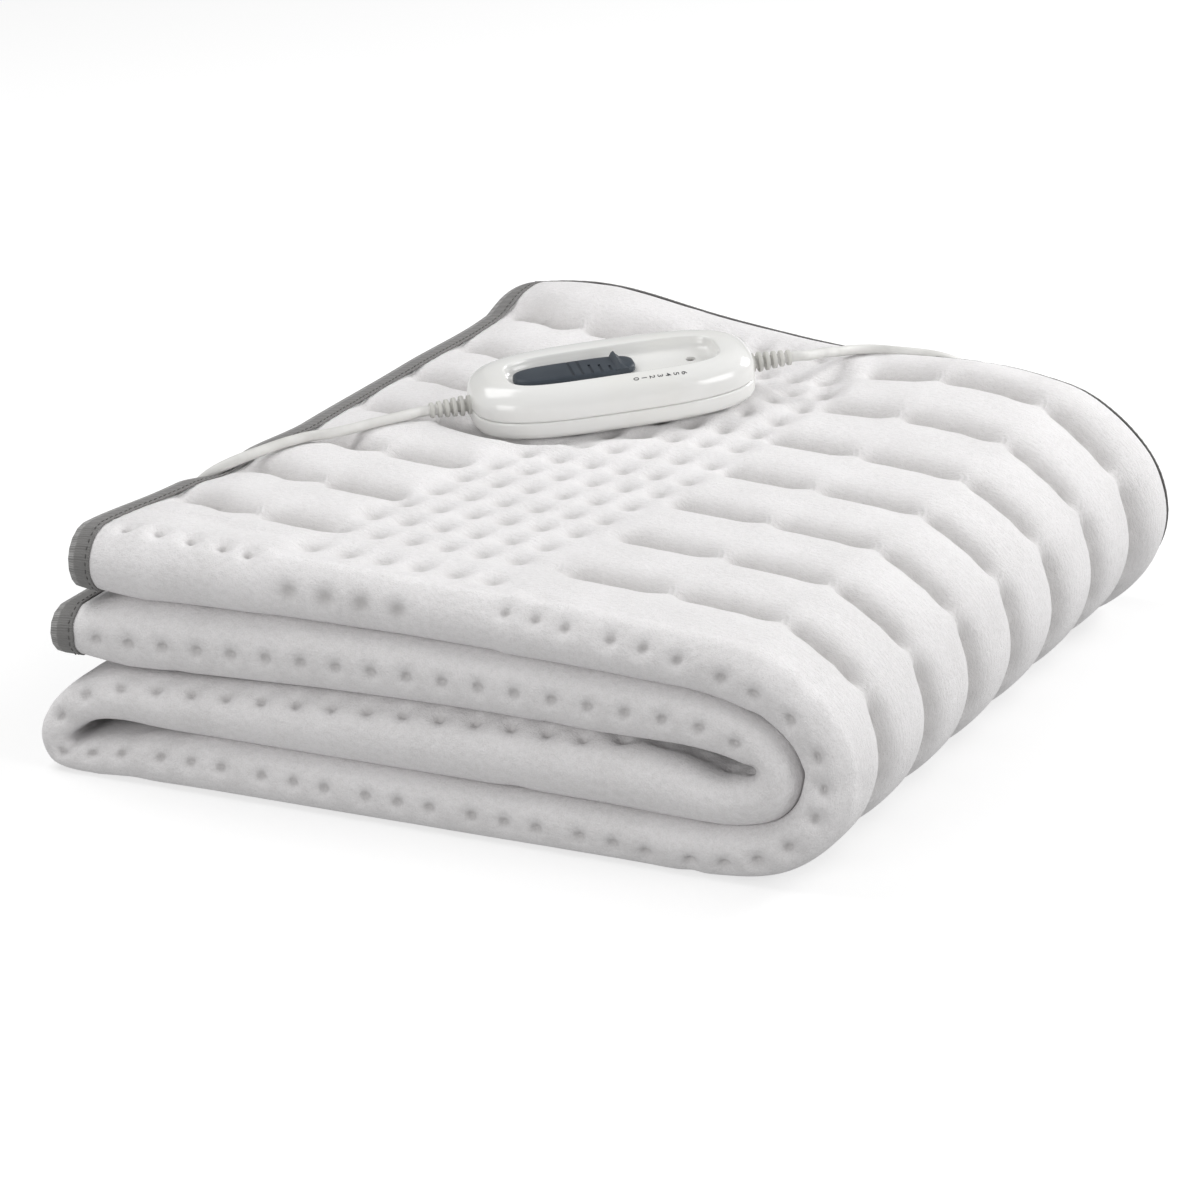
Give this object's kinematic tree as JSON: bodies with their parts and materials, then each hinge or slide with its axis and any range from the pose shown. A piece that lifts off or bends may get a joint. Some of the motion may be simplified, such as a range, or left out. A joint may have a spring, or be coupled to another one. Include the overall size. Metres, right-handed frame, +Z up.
{
  "type": "folded electric underblanket with slide controller",
  "caption": "Quilted fleece heated underblanket, folded into a square stack, with its slide hand controller lying on top and its mains lead coiled behind.",
  "frame": {"origin": "on the surface the stack lies on, under the middle of the folded sheet's box", "axes": "+X to the right along the front face, towards the big outer fold; +Y from the front face to the back edge; +Z up"},
  "size_m": [0.4026, 0.5544, 0.1449],
  "materials": {
    "fleece": "off-white brushed fleece",
    "tape": "grey woven tape",
    "shell": "glossy off-white",
    "slate": "satin slate grey",
    "lens": "dark unlit lens",
    "cord_skin": "satin light grey",
    "plated": "plated"
  },
  "bodies": {
    "underblanket": {"blanket": "fleece", "edge_binding": "tape", "lead_inlet": "shell", "handset_base": "shell", "handset_top": "shell", "pilot_lamp": "lens", "strain_relief_blanket": "cord_skin", "strain_relief_mains": "cord_skin", "blanket_lead": "cord_skin", "mains_lead": "cord_skin", "mains_coil": "cord_skin", "coil_tie": "slate", "plug_body": "cord_skin", "plug_pin_1": "plated", "plug_pin_2": "plated"},
    "slider": {"heat_slider": "slate"}
  },
  "joints": [
    {"name": "heat_slide", "type": "slide", "parent": "underblanket", "child": "slider", "axis": [0.7883, 0.6115, 0.068], "range_m": [0, 0.024]}
  ]
}
